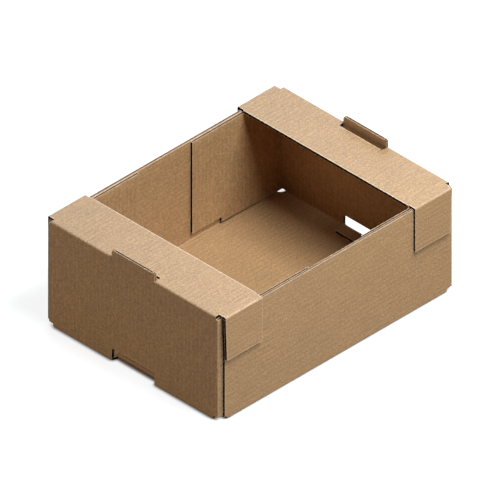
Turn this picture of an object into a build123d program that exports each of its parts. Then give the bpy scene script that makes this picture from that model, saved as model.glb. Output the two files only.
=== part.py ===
"""Open stacking tray of corrugated board: one die-cut blank, folded and glued to itself."""

import os

from build123d import *

# Overall sizes, in millimetres. X runs along the long walls, Z is up, and the origin is the
# middle of the floor's underside.
length = 394.0  # over the outer faces of the end walls
width = 300.0  # over the outer faces of the side flaps
height = 151.5  # from the underside of the floor to the top of the shelves
board = 3.7  # thickness of the corrugated board

# Creases: the board is crushed along a fold, so its outside is rounded less than a bent sheet's
outer_fold = 2.2  # folds round the shelves
upright_fold = 1.4  # folds from the end walls into the glue flaps
foot_fold = 1.8  # folds round the floor
inner_fold = 0.8

# Shelves and the side flaps that hang from them
shelf_depth = 69.5  # from the outer face of the end wall to the free edge
side_flap_drop = 63.5  # from the top of the shelf to the flap's lower edge
side_flap_front_gap = 6.3  # from the outer face of the end wall to the flap's front edge
side_flap_back_gap = 1.2  # from the shelf's free edge to the flap's back edge
side_flap_taper = 2.2  # the front edge leans back by this much over the drop

# Long walls. Left and right are as seen by someone facing the wall from outside: the tray is
# glued a little out of square, so each wall stands further in at its left end.
long_wall_left_gap = 8.5  # from the outer face of the end wall to the wall's cut end
long_wall_right_gap = 3.0

# Glue flaps behind the long walls, folded round from the end walls' upright edges
glue_flap_left_length = 155.0  # from the outer face of the end wall to the free end
glue_flap_right_length = 149.0
glue_flap_top_gap = 0.7  # below the top of the long wall
glue_flap_floor_gap = 0.6  # above the floor, at the end wall
glue_flap_taper = 2.3  # the lower edge rises by this much up to the step
glue_step_length = 49.0  # raised part of the lower edge, at the free end
glue_step_rise = 9.7  # height of the raised part above the floor gap

# The end wall's creases stop short of its upright folds, at the glue flaps' inner faces
crease_end_gap = 3.7

# Stacking tab on the end wall, and the slot that it leaves in the shelf
tab_width = 72.0
tab_rise = 10.2  # above the top of the shelf
tab_corner = 3.5
slot_gap = 6.9  # clear width of the slot behind the tab
slot_end_gap = 0.5  # at each end of the tab

# Stacking notch at the foot of the end wall, and the tongue folded back out of it
notch_width = 72.0
notch_height = 18.0
notch_corner = 3.0
tongue_fold_gap = 6.2  # from the outer face of the end wall to the tongue's fold
tongue_fold_radius = 5.5  # outside of the fold, which stands up a little
tongue_reach = 16.6  # from the fold to the free edge
tongue_bond = 5.0  # stretch of the tongue that lies flat on the floor
tongue_root_width = 64.0
tongue_tip_width = 59.0

# Rounded relief holes where the floor's creases cross
relief_reach = 8.5
relief_rise = 5.0

# Planes that the folded panels share, at the positive end and on the positive side
end_out = length / 2
end_in = end_out - board
flap_out = width / 2
wall_out = flap_out - board
wall_in = wall_out - board
glue_in = wall_in - board
shelf_under = height - board
shelf_edge = end_out - shelf_depth
flap_front = end_out - side_flap_front_gap
flap_back = shelf_edge + side_flap_back_gap
flap_foot = height - side_flap_drop
crease_end = wall_in - crease_end_gap
wall_top = shelf_under
glue_top = wall_top - glue_flap_top_gap
glue_foot = board + glue_flap_floor_gap
step_foot = glue_foot + glue_step_rise
fold_front = end_out - tongue_fold_gap
fold_axis = fold_front - tongue_fold_radius
tongue_tip = fold_front - tongue_reach

# At the positive end, the right-hand flap and wall end lie on the negative side
right_side = (-1, end_out - long_wall_right_gap, end_out - glue_flap_right_length)
left_side = (1, end_out - long_wall_left_gap, end_out - glue_flap_left_length)

# Shelf with its two side flaps: one strip folded down at both sides
with BuildPart() as shelf_wrap:
    with BuildSketch(Plane.YZ.offset(flap_back)):
        RectangleRounded(width, 2 * height, outer_fold)
        RectangleRounded(2 * wall_out, 2 * shelf_under, inner_fold, mode=Mode.SUBTRACT)
        with Locations((0, flap_foot)):
            Rectangle(width, 2 * height, align=(Align.CENTER, Align.MAX), mode=Mode.SUBTRACT)
    extrude(amount=flap_front - flap_back)
    with BuildSketch(Plane.XZ):
        with BuildLine():
            Polyline(
                (flap_front, shelf_under),
                (flap_front, flap_foot),
                (flap_front - side_flap_taper, flap_foot),
                close=True,
            )
        make_face()
    extrude(amount=flap_out, both=True, mode=Mode.SUBTRACT)

# Upright corners of the end wall, with the glue flaps that fold round from them
with BuildPart() as glue_wrap:
    with BuildSketch(Plane.XY.offset(glue_foot)):
        RectangleRounded(length, 2 * wall_in, upright_fold)
        RectangleRounded(2 * end_in, 2 * glue_in, inner_fold, mode=Mode.SUBTRACT)
        for side, wall_end, glue_end in (right_side, left_side):
            with Locations((glue_end, side * wall_in / 2)):
                Rectangle(
                    glue_end + length,
                    wall_in,
                    align=(Align.MAX, Align.CENTER),
                    mode=Mode.SUBTRACT,
                )
    extrude(amount=glue_top - glue_foot)
    for side, wall_end, glue_end in (right_side, left_side):
        step_end = glue_end + glue_step_length
        with BuildSketch(Plane.XZ):
            with BuildLine():
                Polyline(
                    (end_in - inner_fold, glue_foot),
                    (step_end, glue_foot + glue_flap_taper),
                    (step_end, step_foot),
                    (glue_end, step_foot),
                    (glue_end, glue_foot),
                    close=True,
                )
            make_face()
        extrude(amount=-side * wall_in, mode=Mode.SUBTRACT)

# One half of the tray, from the middle of the floor to one end, then the same turned round
with BuildPart() as tray:
    # Floor, end wall and shelf: one strip with a crease at the foot and one at the top
    with BuildSketch(Plane.XZ):
        with Locations((0, height)):
            RectangleRounded(length, 2 * height, foot_fold)
            Rectangle(length, 2 * height, align=(Align.CENTER, Align.MIN), mode=Mode.SUBTRACT)
        RectangleRounded(length, 2 * height, outer_fold, mode=Mode.INTERSECT)
        with Locations((0, height / 2)):
            RectangleRounded(2 * end_in, height - 2 * board, inner_fold, mode=Mode.SUBTRACT)
            Rectangle(2 * shelf_edge, height, align=(Align.CENTER, Align.MIN), mode=Mode.SUBTRACT)
            Rectangle(length, height, align=(Align.MAX, Align.CENTER), mode=Mode.SUBTRACT)
    extrude(amount=crease_end, both=True)

    # Floor and long walls: a second strip across the first, with rounded feet at its ends
    for side, wall_end, glue_end in (right_side, left_side):
        with BuildSketch(Plane.YZ):
            with Locations((0, height)):
                RectangleRounded(2 * wall_out, 2 * height, foot_fold)
                RectangleRounded(2 * wall_in, 2 * (height - board), inner_fold, mode=Mode.SUBTRACT)
            with Locations((0, wall_top)):
                Rectangle(width, 2 * height, align=(Align.CENTER, Align.MIN), mode=Mode.SUBTRACT)
            with Locations((-side * wall_out / 2, 0)):
                Rectangle(wall_out, 2 * height, mode=Mode.SUBTRACT)
        extrude(amount=wall_end)
        with BuildSketch(Plane.XZ.offset(-side * wall_in)):
            with Locations((end_in, 0)):
                Ellipse(relief_reach, relief_rise)
        extrude(amount=-side * board, mode=Mode.SUBTRACT)

    add(shelf_wrap.part)
    add(glue_wrap.part)

    # Slot in the shelf, open towards the end wall
    with BuildSketch(Plane.XY.offset(height)):
        with Locations((end_out, 0)):
            slot = Rectangle(2 * (board + slot_gap), tab_width + 2 * slot_end_gap)
        fillet(slot.vertices(), tab_corner)
    extrude(amount=-(board + inner_fold), mode=Mode.SUBTRACT)

    # Stacking tab, a straight run of the end wall up through the slot
    with BuildSketch(Plane.YZ.offset(end_in)):
        with Locations((0, height + tab_rise)):
            tab = Rectangle(
                tab_width,
                tab_rise + board + inner_fold,
                align=(Align.CENTER, Align.MAX),
            )
        fillet(tab.vertices().group_by(Axis.Y)[-1], tab_corner)
    extrude(amount=board)

    # Stacking notch through the end wall, with rounded upper corners
    with BuildSketch(Plane.YZ.offset(end_in - inner_fold)):
        with Locations((0, notch_height)):
            notch = Rectangle(notch_width, notch_height - board, align=(Align.CENTER, Align.MAX))
        fillet(notch.vertices().group_by(Axis.Y)[-1], notch_corner)
    extrude(amount=board + inner_fold, mode=Mode.SUBTRACT)

    # Floor cut back below the notch, slanting in to the tongue's fold
    with BuildSketch(Plane.XY):
        with BuildLine():
            Polyline(
                (end_out, notch_width / 2),
                (fold_axis, tongue_root_width / 2),
                (fold_axis, -tongue_root_width / 2),
                (end_out, -notch_width / 2),
                close=True,
            )
        make_face()
    extrude(amount=board, mode=Mode.SUBTRACT)

    # Tongue: the floor turns back on itself in a standing fold, then lies down on the floor
    fold_crest = 2 * tongue_fold_radius
    fold_bore = tongue_fold_radius - board
    bond_start = tongue_tip + tongue_bond
    with BuildSketch(Plane.XZ):
        with BuildLine():
            ThreePointArc((fold_axis, 0), (fold_front, tongue_fold_radius), (fold_axis, fold_crest))
            Polyline(
                (fold_axis, fold_crest),
                (bond_start, 2 * board),
                (tongue_tip, 2 * board),
                (tongue_tip, board),
                (bond_start, board),
                (fold_axis, fold_crest - board),
            )
            ThreePointArc(
                (fold_axis, fold_crest - board),
                (fold_axis + fold_bore, tongue_fold_radius),
                (fold_axis, board),
            )
            Line((fold_axis, board), (fold_axis, 0))
        make_face()
    extrude(amount=tongue_root_width / 2, both=True)
    for side in (-1, 1):
        with BuildSketch(Plane.XY.offset(board)):
            with BuildLine():
                Polyline(
                    (fold_axis, side * tongue_root_width / 2),
                    (tongue_tip, side * tongue_root_width / 2),
                    (tongue_tip, side * tongue_tip_width / 2),
                    close=True,
                )
            make_face()
        extrude(amount=fold_crest, mode=Mode.SUBTRACT)

    # Relief holes at the floor's corners, rounding the feet of the end wall
    with BuildSketch(Plane.XY):
        with Locations((end_in, wall_in), (end_in, -wall_in)):
            Circle(relief_reach)
    extrude(amount=board + inner_fold, mode=Mode.SUBTRACT)
    with BuildSketch(Plane.YZ.offset(end_in - inner_fold)):
        with Locations((wall_in, 0), (-wall_in, 0)):
            Ellipse(relief_reach, relief_rise)
    extrude(amount=board + inner_fold, mode=Mode.SUBTRACT)

    add(tray.part.rotate(Axis.Z, 180))

tray.part.label = "tray"
os.makedirs("parts", exist_ok=True)
export_step(tray.part, "parts/tray.step")
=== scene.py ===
# %% [markdown]
# # A corrugated cardboard stacking tray
# The tray is one die-cut sheet of brown corrugated board, folded up and glued to itself. The
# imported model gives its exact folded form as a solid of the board's full thickness. This lesson
# dresses that solid as real board: two paper liners with wavy fluting between them, open wherever
# a knife has cut the sheet, and smooth wherever it has only been creased. All lengths are in
# metres.

import math

import bmesh
import bpy
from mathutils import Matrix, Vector


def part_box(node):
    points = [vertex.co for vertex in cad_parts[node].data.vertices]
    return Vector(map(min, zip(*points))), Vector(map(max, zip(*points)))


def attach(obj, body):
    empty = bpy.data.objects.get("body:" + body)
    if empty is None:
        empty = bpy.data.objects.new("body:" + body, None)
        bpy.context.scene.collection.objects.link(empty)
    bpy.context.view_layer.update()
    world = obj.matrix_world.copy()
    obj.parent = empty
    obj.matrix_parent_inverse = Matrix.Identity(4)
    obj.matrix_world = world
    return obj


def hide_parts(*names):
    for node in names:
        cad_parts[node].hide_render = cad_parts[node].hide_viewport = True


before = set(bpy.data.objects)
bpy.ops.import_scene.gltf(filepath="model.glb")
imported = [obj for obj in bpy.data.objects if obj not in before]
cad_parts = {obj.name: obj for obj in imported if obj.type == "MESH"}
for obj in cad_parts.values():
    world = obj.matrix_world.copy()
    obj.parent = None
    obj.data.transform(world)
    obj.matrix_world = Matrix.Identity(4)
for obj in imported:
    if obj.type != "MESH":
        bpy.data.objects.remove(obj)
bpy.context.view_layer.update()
low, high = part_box("tray")
print("tray box in mm:", [round(1000 * side) for side in high - low])

# %% [markdown]
# ## Flat panels
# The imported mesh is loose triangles. A copy of it is merged, and the triangles of each flat panel
# are dissolved into one face, so that a panel, a fold or a cut edge can be picked up as a whole.
# Drawing the tray afresh would also give whole panels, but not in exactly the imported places. The
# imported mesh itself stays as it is: this copy will stand in its place.

# %% Merge a copy of the solid
same_place = 1e-6
flat_angle = math.radians(0.5)

sheet = bmesh.new()
sheet.from_mesh(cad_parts["tray"].data)
bmesh.ops.remove_doubles(sheet, verts=sheet.verts, dist=same_place)
bmesh.ops.dissolve_limit(
    sheet,
    angle_limit=flat_angle,
    verts=sheet.verts,
    edges=sheet.edges,
)
print("faces after merging:", len(sheet.faces))

# %% [markdown]
# ## Cut edges and folds
# A cut edge is as wide as the board is thick, and meets the paper at a right angle. A fold is a
# row of narrow facets that run on smoothly along a crease. Measuring each face's mean width and
# its longest smooth edge is enough to tell them apart, with no list of places to keep up to date.

# %% Sort the faces
board = 0.0037
narrowest_panel = 1.2 * board
narrowest_cut = board / 3
smooth_angle = math.radians(40)
shortest_crease = 0.010


def mean_width(face):
    return 2 * face.calc_area() / sum(edge.calc_length() for edge in face.edges)


def longest_smooth_edge(face):
    smooth = [e.calc_length() for e in face.edges if e.calc_face_angle() < smooth_angle]
    return max(smooth, default=0)


cut_faces = []
fold_faces = []
panel_faces = []
for face in sheet.faces:
    crease = longest_smooth_edge(face)
    width = mean_width(face)
    if width > narrowest_panel:
        panel_faces.append(face)
    elif crease > shortest_crease:
        fold_faces.append(face)
    elif crease > 0 or width > narrowest_cut:
        cut_faces.append(face)
print("panels:", len(panel_faces), "fold facets:", len(fold_faces), "cut faces:", len(cut_faces))

# %% [markdown]
# ## Which way the flutes run
# The flutes of the blank all lie along its length. Folding turns them: they stay level in the
# floor, the shelves, the long walls and the side flaps, and stand upright in the end walls and the
# glue flaps. An edge cut across the flutes shows their waves, and an edge cut along them shows one
# long hollow. Which it is could be listed edge by edge, but a few planes that the panels share are
# enough to work it out.

# %% Places and directions on the tray
tab_rise = 0.0102
shelf_top = high.z - tab_rise
flap_in = high.y - board
wall_in = flap_in - board
glue_in = wall_in - board
along_x = Vector((1, 0, 0))
upright = Vector((0, 0, 1))

# How much of a unit direction lies along an axis
mostly = 0.7
partly = 0.5
barely = 0.1


def longest_side(face):
    """Start, direction and length of the face's longest side, and the way from it into the face."""
    loop = max(face.loops, key=lambda side: side.edge.calc_length())
    start = loop.vert.co.copy()
    run = loop.link_loop_next.vert.co - start
    return start, run.normalized(), run.length, face.normal.cross(run).normalized()


def flute_direction(face):
    across = longest_side(face)[3]
    if abs(across.z) > mostly:
        return along_x
    if abs(across.x) > mostly:
        return upright
    in_glue_flap = abs(face.calc_center_median().y) < wall_in
    return upright if in_glue_flap else along_x


def faces_up(face):
    return face.normal.z > partly


def is_pressed_or_lit(face):
    """True for cut edges on top, which trays press on, and on the tabs, which are painted as lit.
    """
    return faces_up(face) or face.calc_center_median().z > shelf_top


print("shelf top in mm:", round(1000 * shelf_top, 1), "glue flap in mm:", round(1000 * glue_in, 1))

# %% [markdown]
# ## Room for the rims
# The liners of real board show as a thin rim along its cut edge, and a pressed top edge has a
# wider one. Some cut faces have a side too short for a rim. Where that side is the thin tip that a
# crease leaves on a flap, the tip is cut off and the rest is used. The other ones are left closed,
# as if crushed. Rims as separate strips would need no such test, but they would have to be fitted
# round every corner.

# %% Sort the cut edges
liner = 0.00045
crushed_liner = 0.0008
rim_reserve = 1.1
narrowest_open_cut = 0.6 * board


def rim_thickness(face):
    return crushed_liner if faces_up(face) else liner


def takes_rim(face):
    """True if no side of the face would turn round when the face is inset by a liner."""
    for loop in face.loops:
        loss = 0
        for corner in (loop, loop.link_loop_next):
            turn = math.pi - corner.calc_angle()
            loss += math.tan(turn / 2) * (1 if corner.is_convex else -1)
        if loop.edge.calc_length() < rim_reserve * rim_thickness(face) * loss:
            return False
    return True


def trim_tip(face):
    """Cuts off the thin tip that a crease leaves at a flap's inner side, and keeps the rest."""
    y = face.calc_center_median().y
    inner_side = flap_in if abs(y) > wall_in else glue_in
    parts = bmesh.ops.bisect_plane(
        sheet,
        geom=[face, *face.edges, *face.verts],
        dist=same_place,
        plane_co=(0, math.copysign(inner_side, y), 0),
        plane_no=(0, 1, 0),
    )
    pieces = [item for item in parts["geom"] if isinstance(item, bmesh.types.BMFace)]
    return max(pieces, key=lambda piece: piece.calc_area())


open_faces = [face for face in cut_faces if mean_width(face) > narrowest_open_cut]
open_faces = [
    face if takes_rim(face) or abs(face.normal.y) > barely else trim_tip(face)
    for face in open_faces
]
open_faces = [face for face in open_faces if takes_rim(face)]
across_faces = [f for f in open_faces if abs(f.normal.dot(flute_direction(f))) > partly]
along_faces = [f for f in open_faces if f not in across_faces]
wave_lines = [(*longest_side(f), f.normal.copy(), rim_thickness(f)) for f in across_faces]
print("cut across the flutes:", len(across_faces), "cut along them:", len(along_faces))

# %% [markdown]
# ## Open edges
# On the real board, a cut edge shows the two liners with a hollow between them. Each cut face is
# inset by the thickness of the paper, which leaves the liners' own edges as a narrow rim, and what
# is inside the rim is sunk. Edges across the flutes go deep, to take the waves. Edges along the
# flutes stay shallower than the rim is wide, so that two hollows never run into each other at a
# corner. The edges on top, which are pressed on, and those on the tabs show brown crushed paper
# inside the rim; on the tabs' sides this lighter brown is painted light. All other cut edges get a
# near-black painted shade as their hollow.

# %% Sink the cut edges
wall_slip = 0.00002
wave_depth = 0.003
hollow_depth = 0.0004
liner_slot, rim_slot, shaded_hollow_slot, crushed_or_lit_slot = range(4)


def sink(faces, depth):
    for face in faces:
        rim = bmesh.ops.inset_individual(
            sheet,
            faces=[face],
            thickness=rim_thickness(face),
            use_even_offset=True,
        )
        bmesh.ops.inset_individual(sheet, faces=[face], thickness=wall_slip, depth=-depth)
        for side in rim["faces"]:
            side.material_index = rim_slot


# Painted light and shade: pressed or lit edges get the fluting brown, all others near-black shade
for face in [f for f in cut_faces if f.is_valid] + open_faces:
    face.material_index = crushed_or_lit_slot if is_pressed_or_lit(face) else shaded_hollow_slot
sink(across_faces, wave_depth)
sink(along_faces, hollow_depth)
print("faces with open edges:", len(sheet.faces))

# %% [markdown]
# ## Marks on the folds
# Paper turns pale where it is stretched over the outside of a tight crease, and the pale crease
# also serves as a painted highlight where a fold catches the light. The folds at the feet, which
# stay in shadow, are left out. The wide, round folds of the tongues get a painted shade, darker and
# redder, because they lie in the notches, where most of the light comes off other brown board. Two
# narrow strips, between an end wall's upright fold and the end of a long wall, pass the same test
# for width and get the same painted shade. Values on the face corners tell the paper's material
# where all that is. Marks painted by hand would be lost with every new model. Corners are used and
# not vertices, because a fold's facets only have vertices at their ends.

# %% Mark the outer folds
fold_mark = sheet.loops.layers.float.new("fold")
rim_mark = sheet.loops.layers.float.new("rim")
shade_mark = sheet.loops.layers.float.new("shade")
fold_set = set(fold_faces)
widest_tight_facet = 0.0008
least_bend = 0.01


def far_side(edge, face):
    return next(other for other in edge.link_faces if other is not face)


def creases_of(face):
    folded = [edge for edge in face.edges if far_side(edge, face) in fold_set]
    return [edge for edge in folded if edge.calc_face_angle() > least_bend]


tight_facets = 0
shaded_facets = 0
for face in fold_faces:
    creases = creases_of(face)
    is_outer = creases and all(edge.is_convex for edge in creases)
    is_tight = mean_width(face) < widest_tight_facet
    at_foot = face.calc_center_median().z < board
    # Wide folds: painted shade. Tight outer folds: wear plus painted highlight, not at the shaded
    # feet
    if is_outer and not is_tight:
        shaded_facets += 1
        for loop in face.loops:
            loop[shade_mark] = 1.0
    elif is_outer and not at_foot:
        tight_facets += 1
        crest = {vert for edge in creases for vert in edge.verts}
        for loop in face.loops:
            loop[fold_mark] = 1.0 if loop.vert in crest else 0.0
print("facets on tight folds:", tight_facets, "wide and shaded:", shaded_facets)

# %% [markdown]
# ## Pale rims: rubbing and painted highlight
# The paper is also paler along the edges that a knife has cut, most of all on top of the shelves:
# partly rubbed, and partly a painted highlight where the cut edge catches the light. The pale rim
# needs a narrow band of its own. An inset would move every border of a panel at once, so planes are
# cut through the panel instead, one along each border that is a cut edge.

# %% Cut the rims
rim_width = 0.0011
shortest_rim = 0.008
# Paleness of the rims, for rubbing and painted highlight; tops, which catch most light, get most
pale_rim_on_top = 1.0
pale_rim_elsewhere = 0.4


def split(faces, point, normal):
    """Splits the faces along a plane and returns them as the near part and the far part."""
    around = {item for face in faces for item in (*face.edges, *face.verts)}
    parts = bmesh.ops.bisect_plane(
        sheet,
        geom=[*faces, *around],
        dist=same_place,
        plane_co=point,
        plane_no=normal,
    )
    pieces = [item for item in parts["geom"] if isinstance(item, bmesh.types.BMFace)]
    near = [f for f in pieces if (f.calc_center_median() - point).dot(normal) < 0]
    return near, [f for f in pieces if f not in near]


def cut_rim(pieces, wear_and_highlight, start, run, inward):
    """Cuts a band along a border, marks it pale for wear and highlight, and returns the panel's
    pieces.
    """
    direction = run.normalized()
    near, rest = split(pieces, start + rim_width * inward, inward)
    before, near = split(near, start, direction)
    near, after = split(near, start + run, direction)
    outside, band = split(near, start, inward)
    for face in band:
        for loop in face.loops:
            loop[rim_mark] = wear_and_highlight
    return rest + before + after + outside + band


def cut_borders(panel):
    """Start, run and inward direction of each border that is a cut edge and long enough."""
    borders = []
    for loop in panel.loops:
        is_cut = far_side(loop.edge, panel).material_index != liner_slot
        if is_cut and loop.edge.calc_length() > shortest_rim:
            start = loop.vert.co.copy()
            run = loop.link_loop_next.vert.co - start
            borders.append((start, run, panel.normal.cross(run).normalized()))
    return borders


rims_cut = 0
for panel in panel_faces:
    wear_and_highlight = pale_rim_on_top if faces_up(panel) else pale_rim_elsewhere
    borders = cut_borders(panel)
    pieces = [panel]
    for border in borders:
        pieces = cut_rim(pieces, wear_and_highlight, *border)
    rims_cut += len(borders)
print("rims cut:", rims_cut)

# %% [markdown]
# ## The grain of the sheet
# Fibres and flutes give the paper a direction, which turns with every fold. A UV map holds, for
# each face corner, the distance along the flutes and the distance across them. Unwrapping would
# need seams and would lose the direction. Read from the sheet's own places, the map needs two of
# the three axes: the one that the flutes run along, and the other one that lies in the panel.

# %% Lay out the grain
glue_middle = wall_in - board / 2


def is_upright(face):
    centre = face.calc_center_median()
    in_glue_flap = abs(centre.y) < glue_middle and abs(face.normal.z) < mostly
    return abs(face.normal.x) > mostly or in_glue_flap


def lay_grain(piece):
    grain = piece.loops.layers.uv.new("grain")
    for face in piece.faces:
        turned = is_upright(face)
        faces_sideways = abs(face.normal.y) > mostly
        for loop in face.loops:
            x, y, z = loop.vert.co
            along, across = (z, x) if turned else (x, z)
            loop[grain].uv = (along, across if faces_sideways else y)


lay_grain(sheet)
print("faces with upright flutes:", sum(is_upright(face) for face in sheet.faces))

# %% [markdown]
# ## The tray itself
# The finished sheet becomes one object that stands in the solid's place. Edges sharper than a
# fold's facets are marked sharp, and weighted normals keep the big panels flat right up to the
# round folds. Bevels would round the cut edges as well, and those are crisp on real board.

# %% Make the tray
sharp_board = math.radians(35)

tray_mesh = bpy.data.meshes.new("board_tray")
sheet.normal_update()
sheet.to_mesh(tray_mesh)
tray_mesh.shade_smooth()
tray_mesh.set_sharp_from_angle(angle=sharp_board)
tray = bpy.data.objects.new("board_tray", tray_mesh)
bpy.context.scene.collection.objects.link(tray)
even = tray.modifiers.new("even_normals", "WEIGHTED_NORMAL")
even.keep_sharp = True
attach(tray, "root")
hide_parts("tray")
print("tray triangles:", sum(len(p.vertices) - 2 for p in tray_mesh.polygons))

# %% [markdown]
# ## Fluting in the open edges
# The fluting is a third sheet of paper, pressed into waves and glued between the liners. Only its
# end shows, so a short ribbon of it goes into each edge that is cut across the flutes. A picture
# of waves would look flat there. A vertex is drawn out step by step along the wave, the line is
# extruded into the board, and solidify makes it paper.

# %% Draw the waves
wave_length = 0.0067
wave_steps = 8
fewest_steps = 2
fluting_paper = 0.0003
wave_inset = 0.0003
fluting = bmesh.new()


def wave_point(start, run, inward, margin, distance):
    """A point of the wave, whose crests are fixed in space so that both ends of a flute agree."""
    point = start + distance * run
    swing = math.cos(math.tau * point.dot(run) / wave_length)
    return point + (board / 2 + (board / 2 - margin) * swing) * inward


def draw_wave(start, run, length, inward, normal, rim):
    margin = rim + fluting_paper
    count = max(fewest_steps, round(wave_steps * length / wave_length))
    step = (length - 2 * margin) / count
    first = wave_point(start, run, inward, margin, margin)
    tip = bmesh.ops.create_vert(fluting, co=first)["vert"][0]
    line = []
    for number in range(1, count + 1):
        drawn = bmesh.ops.extrude_vert_indiv(fluting, verts=[tip])
        tip = drawn["verts"][0]
        tip.co = wave_point(start, run, inward, margin, margin + number * step)
        line += drawn["edges"]
    front = {vert for edge in line for vert in edge.verts}
    bmesh.ops.translate(fluting, verts=list(front), vec=-wave_inset * normal)
    ribbon = bmesh.ops.extrude_edge_only(fluting, edges=line)["geom"]
    back_verts = [item for item in ribbon if isinstance(item, bmesh.types.BMVert)]
    bmesh.ops.translate(fluting, verts=back_verts, vec=(wave_inset - wave_depth) * normal)


for wave_line in wave_lines:
    draw_wave(*wave_line)
bmesh.ops.solidify(fluting, geom=fluting.faces[:], thickness=fluting_paper)
lay_grain(fluting)
print("waves drawn:", len(wave_lines), "faces:", len(fluting.faces))

# %% Make the fluting
sharp_fluting = math.radians(50)

fluting_mesh = bpy.data.meshes.new("fluting_ends")
fluting.to_mesh(fluting_mesh)
fluting_mesh.shade_smooth()
fluting_mesh.set_sharp_from_angle(angle=sharp_fluting)
fluting_ends = bpy.data.objects.new("fluting_ends", fluting_mesh)
bpy.context.scene.collection.objects.link(fluting_ends)
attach(fluting_ends, "root")
print("fluting triangles:", sum(len(p.vertices) - 2 for p in fluting_mesh.polygons))

# %% [markdown]
# ## Node trees in short
# Materials are trees of nodes. A few small functions keep them readable: one adds a node, one
# feeds a socket with a number, a colour or another node's output, and the rest make the nodes that
# come up again and again.

# %% Helpers for node trees
def add(tree, kind, **settings):
    node = tree.nodes.new(kind)
    for name, value in settings.items():
        setattr(node, name, value)
    return node


def feed(tree, value, socket):
    """Links the socket to another node's output, or sets it to a plain value."""
    if isinstance(value, bpy.types.NodeSocket):
        tree.links.new(value, socket)
    else:
        socket.default_value = value


def math_node(tree, operation, first, second):
    node = add(tree, "ShaderNodeMath", operation=operation)
    feed(tree, first, node.inputs[0])
    feed(tree, second, node.inputs[1])
    return node.outputs["Value"]


def mix_colours(tree, factor, first, second):
    """Goes from the first colour to the second as the factor goes from 0 to 1."""
    node = add(tree, "ShaderNodeMix", data_type="RGBA")
    colour_inputs = [socket for socket in node.inputs if socket.type == "RGBA"]
    colour_output = next(socket for socket in node.outputs if socket.type == "RGBA")
    feed(tree, factor, node.inputs["Factor"])
    feed(tree, first, colour_inputs[0])
    feed(tree, second, colour_inputs[1])
    return colour_output


def noise(tree, vector, scale, detail):
    node = add(tree, "ShaderNodeTexNoise")
    feed(tree, scale, node.inputs["Scale"])
    feed(tree, detail, node.inputs["Detail"])
    feed(tree, vector, node.inputs["Vector"])
    return node.outputs["Fac"]


def stretched(tree, vector, scale):
    node = add(tree, "ShaderNodeVectorMath", operation="MULTIPLY")
    feed(tree, vector, node.inputs[0])
    feed(tree, scale, node.inputs[1])
    return node.outputs["Vector"]


def swing_about_one(tree, value, amount):
    """Turns a noise of about 0 to 1 into a factor that swings by the amount either side of 1."""
    centred = math_node(tree, "SUBTRACT", value, 0.5)
    scaled = math_node(tree, "MULTIPLY", centred, 2 * amount)
    return math_node(tree, "ADD", scaled, 1.0)


# %% [markdown]
# ## Paper
# Kraft paper is never one brown. It is cloudy over a hand's width, mottled over a fingertip, and
# streaked along its grain, and the flutes underneath show through as a faint washboard. Every
# surface of the tray is this paper, so the effect is made once, as a node group that takes a
# colour and gives it back with the paper's tone.

# %% Kraft paper group
paper = bpy.data.node_groups.new("kraft_paper", "ShaderNodeTree")
paper.interface.new_socket("Colour", in_out="INPUT", socket_type="NodeSocketColor")
paper.interface.new_socket("Colour", in_out="OUTPUT", socket_type="NodeSocketColor")
paper.interface.new_socket("Height", in_out="OUTPUT", socket_type="NodeSocketFloat")
paper_in = add(paper, "NodeGroupInput")
paper_out = add(paper, "NodeGroupOutput")
space_place = add(paper, "ShaderNodeTexCoord").outputs["Object"]
sheet_place = add(paper, "ShaderNodeUVMap", uv_map="grain").outputs["UV"]

# Sizes of the patterns, and how far each one swings the tone
cloud_scale, cloud_detail, cloud_tone = 14, 2, 0.06
mottle_scale, mottle_detail, mottle_tone = 500, 3, 0.74
streak_stretch, streak_detail, streak_tone = (30, 560, 1), 2, 0.26
fibre_stretch, fibre_detail, fibre_tone = (420, 3600, 1), 2, 0.30
ripple_tone = 0.045

clouds = noise(paper, space_place, cloud_scale, cloud_detail)
mottle = noise(paper, space_place, mottle_scale, mottle_detail)
streaks = noise(paper, stretched(paper, sheet_place, streak_stretch), 1, streak_detail)
fibres = noise(paper, stretched(paper, sheet_place, fibre_stretch), 1, fibre_detail)
across_flutes = add(paper, "ShaderNodeSeparateXYZ")
feed(paper, sheet_place, across_flutes.inputs["Vector"])
phase = math_node(paper, "MULTIPLY", across_flutes.outputs["Y"], math.tau / wave_length)
washboard = math_node(paper, "SINE", phase, 0.0)

tone = swing_about_one(paper, clouds, cloud_tone)
for layer, amount in ((mottle, mottle_tone), (streaks, streak_tone), (fibres, fibre_tone)):
    tone = math_node(paper, "MULTIPLY", tone, swing_about_one(paper, layer, amount))
ripple = math_node(paper, "MULTIPLY", washboard, ripple_tone)
tone = math_node(paper, "MULTIPLY", tone, math_node(paper, "ADD", ripple, 1.0))
toned = add(paper, "ShaderNodeVectorMath", operation="SCALE")
feed(paper, paper_in.outputs["Colour"], toned.inputs["Vector"])
feed(paper, tone, toned.inputs["Scale"])
feed(paper, toned.outputs["Vector"], paper_out.inputs["Colour"])
print("tone of the paper:", len(paper.nodes), "nodes")

# %% [markdown]
# ## Relief
# The paper is rough along its streaks and fibres, and the flutes press faint ridges into it.
# Moving the mesh for this would take millions of faces, so the group only gives out a height, and
# the materials use it to bend the light.

# %% Relief of the paper
ridge_height = 0.10
rough_height = 0.5

ridges = math_node(paper, "MULTIPLY", washboard, ridge_height)
rough_paper = math_node(paper, "ADD", streaks, fibres)
rough_paper = math_node(paper, "MULTIPLY", rough_paper, rough_height)
relief = math_node(paper, "ADD", ridges, rough_paper)
feed(paper, relief, paper_out.inputs["Height"])
print("tone and relief of the paper:", len(paper.nodes), "nodes")

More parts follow.
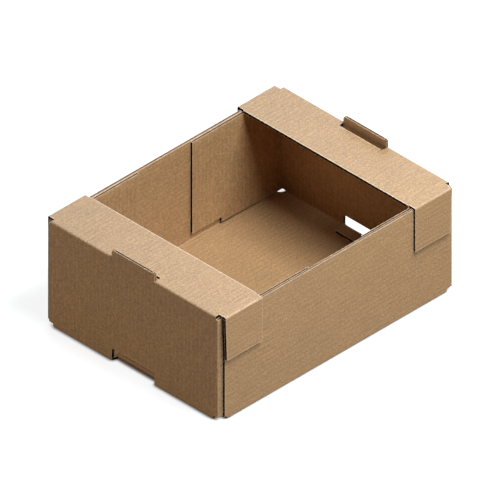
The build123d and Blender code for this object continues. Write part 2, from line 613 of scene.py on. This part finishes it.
# %% [markdown]
# ## The four papers
# One material per thing that is seen: the liners' faces, the cut edges of the liners, the hollow
# between them, painted near black as shade, and the fluting, which also shows where an edge is
# crushed or painted as lit. They differ in their colour and in how much relief they show, and share
# the paper group. Only the liners read the marks for folds, rims and shade: the paleness of wear
# and painted highlight, and painted shade. Uncoated paper is dull, so roughness is high.

# %% Paper materials
kraft_brown = (0.465, 0.264, 0.112, 1)
# Pale colour for wear and for the painted highlight on folds and rims
worn_or_lit_brown = (0.75, 0.55, 0.37, 1)
# Painted shade for the tongues' wide folds and two strips by the upright corners
shaded_brown = (0.34, 0.16, 0.052, 1)
cut_brown = (0.60, 0.42, 0.27, 1)
# Painted shade: the inside of an open cut edge, darker than its hollow alone makes it
hollow_painted_shade = (0.025, 0.014, 0.007, 1)
flute_brown = (0.20, 0.12, 0.065, 1)
paper_roughness = 0.55
relief_strength = 0.5
liner_relief = 0.00008
cut_relief = 0.00005
fold_wear_and_highlight = 0.25
rim_wear_and_highlight = 0.9


def paper_material(name, colour, relief_depth, shine):
    """A paper of one colour, with the kraft paper's tone and relief and a little shine."""
    material = bpy.data.materials.new(name)
    material.use_nodes = True
    tree = material.node_tree
    shader = tree.nodes["Principled BSDF"]
    feed(tree, paper_roughness, shader.inputs["Roughness"])
    feed(tree, shine, shader.inputs["Specular IOR Level"])
    group = add(tree, "ShaderNodeGroup", node_tree=paper)
    feed(tree, colour, group.inputs["Colour"])
    feed(tree, group.outputs["Colour"], shader.inputs["Base Color"])
    bump = add(tree, "ShaderNodeBump")
    feed(tree, relief_strength, bump.inputs["Strength"])
    feed(tree, relief_depth, bump.inputs["Distance"])
    feed(tree, group.outputs["Height"], bump.inputs["Height"])
    feed(tree, bump.outputs["Normal"], shader.inputs["Normal"])
    return material, group


def marked(tree, name):
    return add(tree, "ShaderNodeAttribute", attribute_name=name).outputs["Fac"]


def paint_wear_light_and_shade(material, group):
    """Pales the paper at the fold and rim marks, for wear and painted highlight, and paints shade.
    """
    tree = material.node_tree
    fold = math_node(tree, "MULTIPLY", marked(tree, "fold"), fold_wear_and_highlight)
    rim = math_node(tree, "MULTIPLY", marked(tree, "rim"), rim_wear_and_highlight)
    wear_and_highlight = math_node(tree, "MAXIMUM", fold, rim)
    worn_or_lit = mix_colours(tree, wear_and_highlight, kraft_brown, worn_or_lit_brown)
    shaded = mix_colours(tree, marked(tree, "shade"), worn_or_lit, shaded_brown)
    feed(tree, shaded, group.inputs["Colour"])


kraft_liner, liner_group = paper_material("kraft_liner", kraft_brown, liner_relief, shine=1.0)
paint_wear_light_and_shade(kraft_liner, liner_group)
cut_paper = paper_material("cut_paper", cut_brown, cut_relief, shine=0.2)[0]
shaded_hollow = paper_material("shaded_hollow", hollow_painted_shade, cut_relief, shine=0)[0]
fluting_brown = paper_material("fluting_brown", flute_brown, cut_relief, shine=0)[0]
for material in (kraft_liner, cut_paper, shaded_hollow, fluting_brown):
    tray_mesh.materials.append(material)
fluting_mesh.materials.append(fluting_brown)
print("materials:", [material.name for material in bpy.data.materials])

# %% [markdown]
# ## The floor
# A product picture stands on white paper. The floor glows white to the camera and keeps the tray's
# soft shadow. In the narrow gap where the tray touches it, a painted contact shadow darkens the
# glow, by ambient occlusion. To the light that bounces about, the floor is dark, because a white
# one would brighten the walls from below. A plain white floor would be simpler, but it comes out
# grey unless it is lit far more than the tray.

# %% Floor
floor_size = 8
floor_grey = (0.5, 0.5, 0.5, 1)
floor_roughness = 0.9
white = (1, 1, 1, 1)
white_glow = 0.8
contact_reach = 0.005
contact_power = 2.5
dim_grey = (0.12, 0.11, 0.10, 1)

bpy.ops.mesh.primitive_plane_add(size=floor_size)
floor = bpy.context.object
floor.name = "floor"
floor_material = bpy.data.materials.new("pale_floor")
floor_material.use_nodes = True
floor_tree = floor_material.node_tree
pale = floor_tree.nodes["Principled BSDF"]
feed(floor_tree, floor_grey, pale.inputs["Base Color"])
feed(floor_tree, floor_roughness, pale.inputs["Roughness"])
feed(floor_tree, white, pale.inputs["Emission Color"])
# Painted contact shadow: ambient occlusion darkens the floor's glow next to the tray
gap = add(floor_tree, "ShaderNodeAmbientOcclusion")
feed(floor_tree, contact_reach, gap.inputs["Distance"])
painted_contact_shadow = math_node(floor_tree, "POWER", gap.outputs["AO"], contact_power)
glow = math_node(floor_tree, "MULTIPLY", painted_contact_shadow, white_glow)
feed(floor_tree, glow, pale.inputs["Emission Strength"])
dim = add(floor_tree, "ShaderNodeBsdfDiffuse")
feed(floor_tree, dim_grey, dim.inputs["Color"])
path = add(floor_tree, "ShaderNodeLightPath")
by_ray = add(floor_tree, "ShaderNodeMixShader")
feed(floor_tree, path.outputs["Is Camera Ray"], by_ray.inputs["Fac"])
feed(floor_tree, dim.outputs["BSDF"], by_ray.inputs[1])
feed(floor_tree, pale.outputs["BSDF"], by_ray.inputs[2])
surface = floor_tree.nodes["Material Output"].inputs["Surface"]
feed(floor_tree, by_ray.outputs["Shader"], surface)
floor.data.materials.append(floor_material)
print("floor:", floor_size, "m wide,", len(floor_tree.nodes), "nodes")

# %% [markdown]
# ## The light
# The room is white to the camera as well, and almost dark to the tray. Two big lamps hang high,
# one over the near long wall and one behind the far corner, and two low, narrow ones fill in the
# walls that face the camera. A single lamp would leave one of those walls black, and a bright room
# would wash out the dark inside.

# %% Room and lamps
room_light = 0.01
lamp_target = Vector((0, 0, 0.08))

world = bpy.data.worlds.new("studio")
bpy.context.scene.world = world
world.use_nodes = True
world_tree = world.node_tree
room = world_tree.nodes["Background"]
feed(world_tree, white, room.inputs["Color"])
seen = add(world_tree, "ShaderNodeLightPath").outputs["Is Camera Ray"]
feed(world_tree, math_node(world_tree, "MAXIMUM", seen, room_light), room.inputs["Strength"])


def soft_lamp(name, location, size, power, colour):
    data = bpy.data.lights.new(name, "AREA")
    data.shape = "RECTANGLE"
    data.size, data.size_y = size
    data.energy = power
    data.color = colour
    lamp = bpy.data.objects.new(name, data)
    lamp.location = location
    lamp.visible_camera = False
    aim = lamp_target - Vector(location)
    lamp.rotation_euler = aim.to_track_quat("-Z", "Y").to_euler()
    bpy.context.scene.collection.objects.link(lamp)


soft_lamp("overhead", (0.18, -0.67, 1.49), (0.9, 0.7), 36.7, (0.86, 0.93, 1.0))
soft_lamp("behind", (1.8, 1.8, 1.3), (1.6, 1.6), 32, (0.85, 0.93, 1.0))
soft_lamp("side_fill", (-2.2, 0.6, 0.1), (1.5, 0.15), 14.4, (1.0, 0.87, 0.73))
soft_lamp("front_fill", (0, -2.2, 0.15), (1.5, 0.2), 17, (0.89, 0.93, 1.0))
print("lamps in watts:", {lamp.name: round(lamp.energy, 1) for lamp in bpy.data.lights})

# %% [markdown]
# ## Camera
# The view is isometric: no lines converge, and all three axes are shortened alike. An orthographic
# camera that looks along the corner of a cube gives exactly that. A long lens from far away would
# only come near it.

# %% Camera
view_width = 0.5959
camera_distance = 3
middle = (low + high) / 2
back = Vector((-1, -1, 1)).normalized()

camera_data = bpy.data.cameras.new("camera")
camera_data.type = "ORTHO"
camera_data.ortho_scale = view_width
camera = bpy.data.objects.new("camera", camera_data)
camera.location = middle + camera_distance * back
camera.rotation_euler = back.to_track_quat("Z", "Y").to_euler()
bpy.context.scene.collection.objects.link(camera)
bpy.context.scene.camera = camera
bpy.context.scene.view_settings.view_transform = "Standard"
print("camera turned by degrees:", [round(math.degrees(a), 1) for a in camera.rotation_euler])
